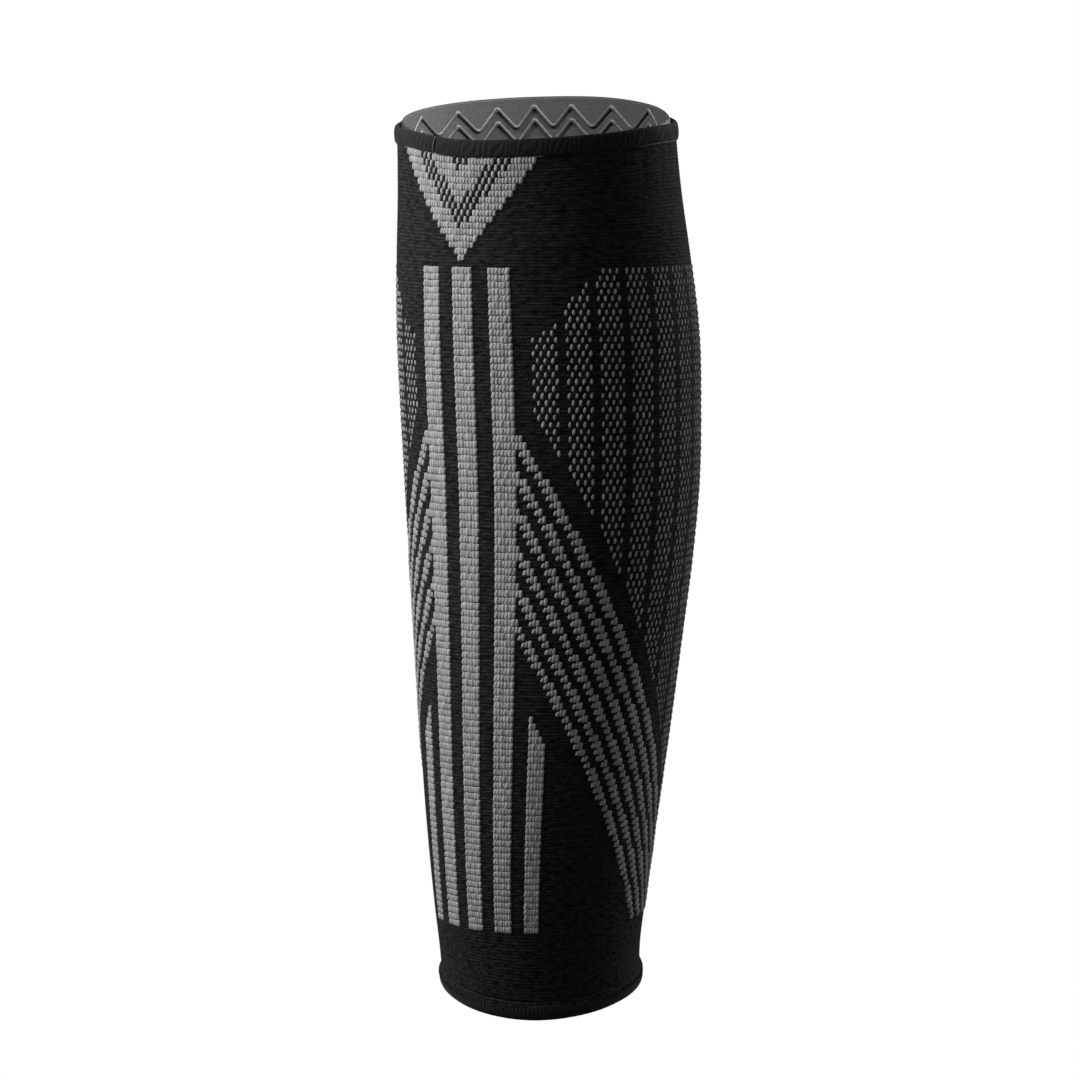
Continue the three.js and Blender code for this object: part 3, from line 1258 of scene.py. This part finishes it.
@dataclass
class Hem:
    """The turned hem round the ankle: knit above, a line of slanting stitches, and a rolled edge below."""

    leg: Leg
    height: float = 7.6 * MM
    bulge: float = 1.1 * MM
    inner: float = -2.1 * MM
    inner_edge: float = 0.05
    fullest: float = 0.42
    tuck: float = 0.3 * MM
    tuck_start: float = 0.9
    stitch_line: float = 3.9 * MM
    groove: float = 0.2 * MM
    groove_reach: float = 0.07
    columns: int = 256
    steps: int = 28
    courses: float = 6.6
    course_depth: float = 0.14 * MM
    stitches: int = 164
    stitch_size: tuple[float, float, float] = (0.6 * MM, 1.9 * MM, 0.38 * MM)
    stitch_lean: float = -28.0
    stitch_seat: float = 0.93

    def face(self, turn: np.ndarray, s: np.ndarray) -> tuple[np.ndarray, np.ndarray]:
        """Give the hem's outer face.

        Args:
            turn: Angles round the leg.
            s: Places up the face, from 0 at its edge to 1 at its top.

        Returns:
            How far out and how high each place is.
        """
        share = 0.5 + 0.5 * np.sin((s - 0.5) * math.pi)
        under = np.sqrt(1 - np.clip(1 - share / self.fullest, 0, 1) ** 2)
        falling = np.clip((share - self.fullest) / (1 - self.fullest), 0, 1)
        over = 0.5 + 0.5 * np.cos(math.pi * falling)
        from_groove = (share - self.stitch_line / self.height) / self.groove_reach
        dent = self.groove * np.exp(-(from_groove**2))
        tuck = self.tuck * np.clip((share - self.tuck_start) / (1 - self.tuck_start), 0, 1)
        out = self.bulge * np.minimum(under, over) - dent - tuck
        return out, self.leg.hem(turn) + self.height * share

    def roll(self, knit: bpy.types.Material, edge: bpy.types.Material) -> bpy.types.Object:
        """Make the hem.

        Args:
            knit: The finish above the line of stitches.
            edge: The finish below it.

        Returns:
            The hem.
        """
        turn = np.arange(self.columns)[:, None] * FULL_TURN / self.columns
        s = np.linspace(0, 1, self.steps + 1)[None, :]
        out, z = self.face(turn, s)
        share = (z - self.leg.hem(turn)) / self.height
        upper = share > self.stitch_line / self.height
        wave = np.where(np.arange(self.steps + 1)[None, :] % 2 == 0, self.course_depth, 0.0)
        outer = self.leg.point(turn + 0 * s, z, out - np.where(upper, wave, 0))
        thick = self.height * self.inner_edge
        inner_z = np.concatenate([z[:, -1:] - thick, z[:, :1] + thick], axis=1)
        inner = self.leg.point(turn + 0 * inner_z, inner_z, self.inner)
        loops = np.concatenate([outer, inner], axis=1)
        rows = np.concatenate([share[0] * self.courses / COURSES, [0.0, 0.0]])
        finish_of = np.concatenate([np.where(upper[0], 0, 1), [1, 1]])
        return ring_object("turned_hem", loops, [knit, edge], rows, finish_of)

    def thread(self, tree: StitchTree, finish: bpy.types.Material) -> bpy.types.Object:
        """Sew the line of small slanting stitches that holds the turned edge.

        Args:
            tree: What sets the stitches.
            finish: The thread's finish.

        Returns:
            The stitches.
        """
        turn = np.arange(self.stitches) * FULL_TURN / self.stitches
        z = self.leg.hem(turn) + self.stitch_line
        step, rise = 0.2, 0.3 * MM
        out = self.bulge * self.stitch_seat - self.groove
        at = self.leg.point(turn, z, out)
        across = self.leg.point(turn + step, self.leg.hem(turn + step) + self.stitch_line, out) - at
        upward = self.leg.point(turn, z + rise, out) - at
        outward = unit(np.cross(across, upward))
        upward = unit(np.cross(outward, across))
        size = np.tile(self.stitch_size, (self.stitches, 1))
        lean = np.full(self.stitches, math.radians(self.stitch_lean))
        shape = StitchShape(slant=0.0).build("hem stitch")
        points = StitchPoints(at, upward, outward, size, lean)
        look = StitchLook(finish, seed=21, lean_spread=6.0, size_spread=0.12)
        piece = tree.run("hem_stitches", points, shape, look)
        bpy.data.objects.remove(shape)
        return piece


@dataclass
class GripBand:
    """The elastic band inside the top, with two zigzag beads of silicone."""

    leg: Leg
    height: float = 22 * MM
    outer: float = -2.0 * MM
    wall: float = 0.8 * MM
    edge_wall: float = 0.02 * MM
    line_depth: float = 0.05 * MM
    columns: int = 256
    levels: int = 46
    bead_width: float = 1.5 * MM
    bead_rise: float = 0.75 * MM
    bead_sunk: float = 0.05 * MM
    bead_points: int = 6
    bead_fullness: float = 0.8
    zigzags: int = 16
    zigzag_height: float = 7.4 * MM
    zigzag_tops: tuple[float, float] = (4.0 * MM, 9.2 * MM)
    first_peak: float = 212.7
    side_stretch: float = 7.8
    steps_a_leg: int = 9
    peak_round: float = 0.07
    valley_round: float = 0.2
    peak_growth: float = 0.25
    peak_reach: float = 0.12

    def band(self, material: bpy.types.Material) -> bpy.types.Object:
        """Make the elastic, a thin wall with rounded edges and fine lines along it.

        Args:
            material: The elastic's cloth.

        Returns:
            The band.
        """
        turn = np.arange(self.columns)[:, None] * FULL_TURN / self.columns
        down = np.linspace(0, self.height, self.levels)[None, :]
        edge = np.minimum(np.minimum(down, self.height - down) / (0.5 * self.wall), 1)
        half = self.wall / 2 * np.sqrt(1 - (1 - edge) ** 2) + self.edge_wall
        middle = self.outer - self.wall / 2
        line = np.where(np.arange(self.levels)[None, :] % 2 == 0, self.line_depth, 0)
        z = self.leg.rim(turn) - down
        outer = self.leg.point(turn + 0 * down, z[:, ::-1], (middle + half)[:, ::-1] + 0 * turn)
        inner = self.leg.point(turn + 0 * down, z, middle - half + line + 0 * turn)
        return ring_object("elastic_band", np.concatenate([outer, inner], axis=1), [material])

    def zigzag(self, place: np.ndarray) -> tuple[np.ndarray, np.ndarray]:
        """Follow the zigzag.

        Args:
            place: Places along it, counted in zigzags from its first peak.

        Returns:
            The angle of each place, and how far it lies below the peaks as a share of the zigzag's height.
        """
        even = place / self.zigzags * FULL_TURN
        turn = self.first_peak + even - self.side_stretch * np.sin(np.radians(2 * even))
        share = 2 * np.abs(place - np.round(place))
        fall = self._rounded(share, self.peak_round)
        fall = 1 - self._rounded(1 - fall, self.valley_round)
        low, high = self.peak_round / 2, 1 - self.valley_round / 2
        return turn, (fall - low) / (high - low)

    @staticmethod
    def _rounded(value: np.ndarray, reach: float) -> np.ndarray:
        """Round a corner at zero over a reach."""
        near = (value**2 / reach + reach) / 2
        return np.where(value < reach, near, value)

    def bead(self, name: str, top: float, material: bpy.types.Material) -> bpy.types.Object:
        """Lay a zigzag bead on the band's inner face.

        Args:
            name: The bead's name.
            top: How far its peaks lie below the zigzags' line.
            material: The silicone.

        Returns:
            The bead.
        """
        steps = self.zigzags * 2 * self.steps_a_leg * 2
        turn, fall = self.zigzag(np.arange(steps) * self.zigzags / steps)
        z = self.leg.grip(turn) - top - self.zigzag_height * fall
        path = self.leg.point(turn, z, self.outer - self.wall + self.bead_sunk)
        ahead = unit(np.roll(path, -1, axis=0) - np.roll(path, 1, axis=0))
        _, _, back = self.leg.section(z)
        centre = np.stack([np.zeros(steps), back, z], axis=1)
        inward = unit(centre - path)
        across = unit(np.cross(inward, ahead))
        inward = unit(np.cross(ahead, across))
        grown = 1 + self.peak_growth * np.exp(-((fall / self.peak_reach) ** 2))
        angle = np.linspace(0, math.pi, self.bead_points)
        side = self.bead_width / 2 * np.cos(angle)
        rise = self.bead_rise * np.sin(angle) ** self.bead_fullness
        arc = across[:, None] * side[None, :, None] + inward[:, None] * rise[None, :, None]
        return ring_object(name, path[:, None] + arc * grown[:, None, None], [material])


@dataclass(frozen=True)
class Lamp:
    """A soft square lamp, so many degrees round from the camera and above its aim on the leg's axis."""

    name: str
    aside: float
    rise: float
    reach: float
    size: float
    power: float
    aim: float = -0.15
    inside: bool = False


LAMPS = (
    Lamp("key lamp", -76, 36, 0.7, 0.45, 6.7),
    Lamp("left edge lamp", -118, 25, 1.7, 0.9, 7.0),
    Lamp("right edge lamp", 128, 22, 1.7, 0.9, 15.0),
    Lamp("right fill lamp", 100, 32, 1.7, 0.9, 1.2),
    Lamp("band lamp", 72, 50, 1.2, 1.2, 42.0, 0.0, inside=True),
    Lamp("bead lamp", -60, 45, 1.2, 0.15, 13.0, 0.0, inside=True),
)


@dataclass
class Studio:
    """The camera, the soft lights and the plain floor, with the pieces that each kind of lamp lights."""

    lit_inside: bpy.types.Collection
    lit_outside: bpy.types.Collection
    azimuth: float = 33.0
    air_light: float = 0.14
    distance: float = 1233.21 * MM
    aside: float = 1.0 * MM
    focal_pixels: float = 3333.0
    picture_pixels: float = 1080.0
    horizon_rise: float = 390.0
    sensor: float = 36.0
    farthest: float = 60.0
    floor_drop: float = 0.9
    floor_reach: float = 9.0

    def camera(self) -> None:
        """Set the camera at the photograph's place and angle."""
        data = bpy.data.cameras.new("camera")
        data.sensor_fit = "HORIZONTAL"
        data.sensor_width = self.sensor
        data.lens = self.focal_pixels / self.picture_pixels * self.sensor
        data.clip_end = self.farthest
        turn = math.radians(self.azimuth)
        pitch = math.atan(self.horizon_rise / self.focal_pixels)
        camera = bpy.data.objects.new("camera", data)
        bpy.context.scene.collection.objects.link(camera)
        x = self.distance * math.sin(turn) + self.aside * math.cos(turn)
        y = -self.distance * math.cos(turn) + self.aside * math.sin(turn)
        camera.location = (x, y, 0)
        camera.rotation_euler = (math.pi / 2 - pitch, 0, turn)
        bpy.context.scene.camera = camera

    def lamp(self, lamp: Lamp) -> None:
        """Set a lamp, which lights the inside of the top alone or all the rest.

        Args:
            lamp: The lamp.
        """
        data = bpy.data.lights.new(lamp.name, "AREA")
        data.shape = "SQUARE"
        data.size = lamp.size
        data.energy = lamp.power
        body = bpy.data.objects.new(lamp.name, data)
        bpy.context.scene.collection.objects.link(body)
        turn, up = math.radians(self.azimuth + lamp.aside), math.radians(lamp.rise)
        flat, high = lamp.reach * math.cos(up), lamp.aim + lamp.reach * math.sin(up)
        body.location = (flat * math.sin(turn), -flat * math.cos(turn), high)
        body.rotation_euler = (math.pi / 2 - up, 0, turn)
        body.visible_camera = False
        body.light_linking.receiver_collection = self.lit_inside if lamp.inside else self.lit_outside

    def floor(self) -> bpy.types.Object:
        """Lay the pale floor, far below the sleeve, which hangs as it would on a leg.

        Returns:
            The floor.
        """
        material = bpy.data.materials.new("pale floor")
        material.use_nodes = True
        material.node_tree.nodes.clear()
        graph = Graph(material.node_tree)
        glow = graph.add("ShaderNodeEmission", {"Color": (1, 1, 1, 1), "Strength": 1.0})
        graph.add("ShaderNodeOutputMaterial", {"Surface": glow.outputs[0]})
        corners = ((-1, -1), (1, -1), (1, 1), (-1, 1))
        points = [(self.floor_reach * x, self.floor_reach * y, -self.floor_drop) for x, y in corners]
        floor = solid("floor", points, [(0, 1, 2, 3)], [material])
        floor.visible_diffuse = False
        floor.visible_glossy = False
        return floor

    def air(self) -> None:
        """Fill the room with even light, and show it plain white behind the sleeve."""
        world = bpy.data.worlds.new("room")
        world.use_nodes = True
        world.node_tree.nodes.clear()
        graph = Graph(world.node_tree)
        white = (1, 1, 1, 1)
        soft = graph.add("ShaderNodeBackground", {"Color": white, "Strength": self.air_light})
        plain = graph.add("ShaderNodeBackground", {"Color": white, "Strength": 1.0})
        seen = graph.add("ShaderNodeLightPath").outputs["Is Camera Ray"]
        both = graph.add("ShaderNodeMixShader", {0: seen, 1: soft.outputs[0], 2: plain.outputs[0]})
        graph.add("ShaderNodeOutputWorld", {"Surface": both.outputs[0]})
        bpy.context.scene.world = world

    def build(self) -> None:
        """Set up everything round the sleeve."""
        self.camera()
        for lamp in LAMPS:
            self.lamp(lamp)
        self.air()
        self.floor()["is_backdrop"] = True
        view = bpy.context.scene.view_settings
        view.view_transform = "Standard"
        view.look = "None"


def dress() -> tuple[list[bpy.types.Object], list[bpy.types.Object]]:
    """Build every piece of the sleeve and let it ride on its body.

    Returns:
        The grip band and its beads, which line the inside of the top, and the other pieces.
    """
    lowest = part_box("bottom_welt")[0][2]
    band_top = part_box("grip_band")[1][2]
    knit_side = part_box("knit_sleeve")[1][0]
    leg = Leg(height=band_top - lowest, rim_above_origin=band_top, half_width=knit_side)
    tree = StitchTree()
    yarn, knit, welt = GREY_YARN.material(), BLACK_KNIT.material(), BLACK_WELT.material()

    tube = KnitTube(Gauge(leg))
    ground = tube.ground(knit)
    pattern = tube.pattern(tree, Chart(), yarn)
    top = TopWelt(leg)
    welt_thread = WELT_THREAD.material()
    rolled, seam, edging = top.roll(welt), top.seam(welt_thread), top.edging(welt_thread)
    hem = Hem(leg)
    turned, hem_thread = hem.roll(knit, welt), hem.thread(tree, HEM_THREAD.material())
    grip = GripBand(leg)
    band = grip.band(ELASTIC.material())
    silicone = SILICONE.material()
    upper = grip.bead("upper_bead", grip.zigzag_tops[0], silicone)
    lower = grip.bead("lower_bead", grip.zigzag_tops[1], silicone)

    slots = {
        Slot.KNIT: [ground, *pattern],
        Slot.WELT: [rolled, seam, edging, turned, hem_thread],
        Slot.ELASTIC: [band],
        Slot.SILICONE: [upper, lower],
    }
    for slot, pieces in slots.items():
        for piece in pieces:
            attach(piece, "root")
            LOG.info("%s: %d faces", piece.name, len(piece.data.polygons))
    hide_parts("knit_sleeve")
    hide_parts("top_welt")
    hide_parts("bottom_welt")
    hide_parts("grip_band")
    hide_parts("grip_zigzag_upper")
    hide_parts("grip_zigzag_lower")
    others = [piece for pieces in slots.values() for piece in pieces if piece is not ground]
    return slots[Slot.ELASTIC] + slots[Slot.SILICONE], slots[Slot.KNIT] + slots[Slot.WELT]


def main() -> None:
    """Build the sleeve over its frame."""
    logging.basicConfig(level=logging.INFO, format="%(message)s")
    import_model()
    frame_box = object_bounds()
    lit = [bpy.data.collections.new(name) for name in ("lit inside", "lit outside")]
    for collection, pieces in zip(lit, dress()):
        for piece in pieces:
            collection.objects.link(piece)
    Studio(*lit).build()
    sizes = {"frame": frame_box, "dressed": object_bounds()}
    plain = {name: [[float(value) for value in corner] for corner in box] for name, box in sizes.items()}


if __name__ == "__main__":
    main()
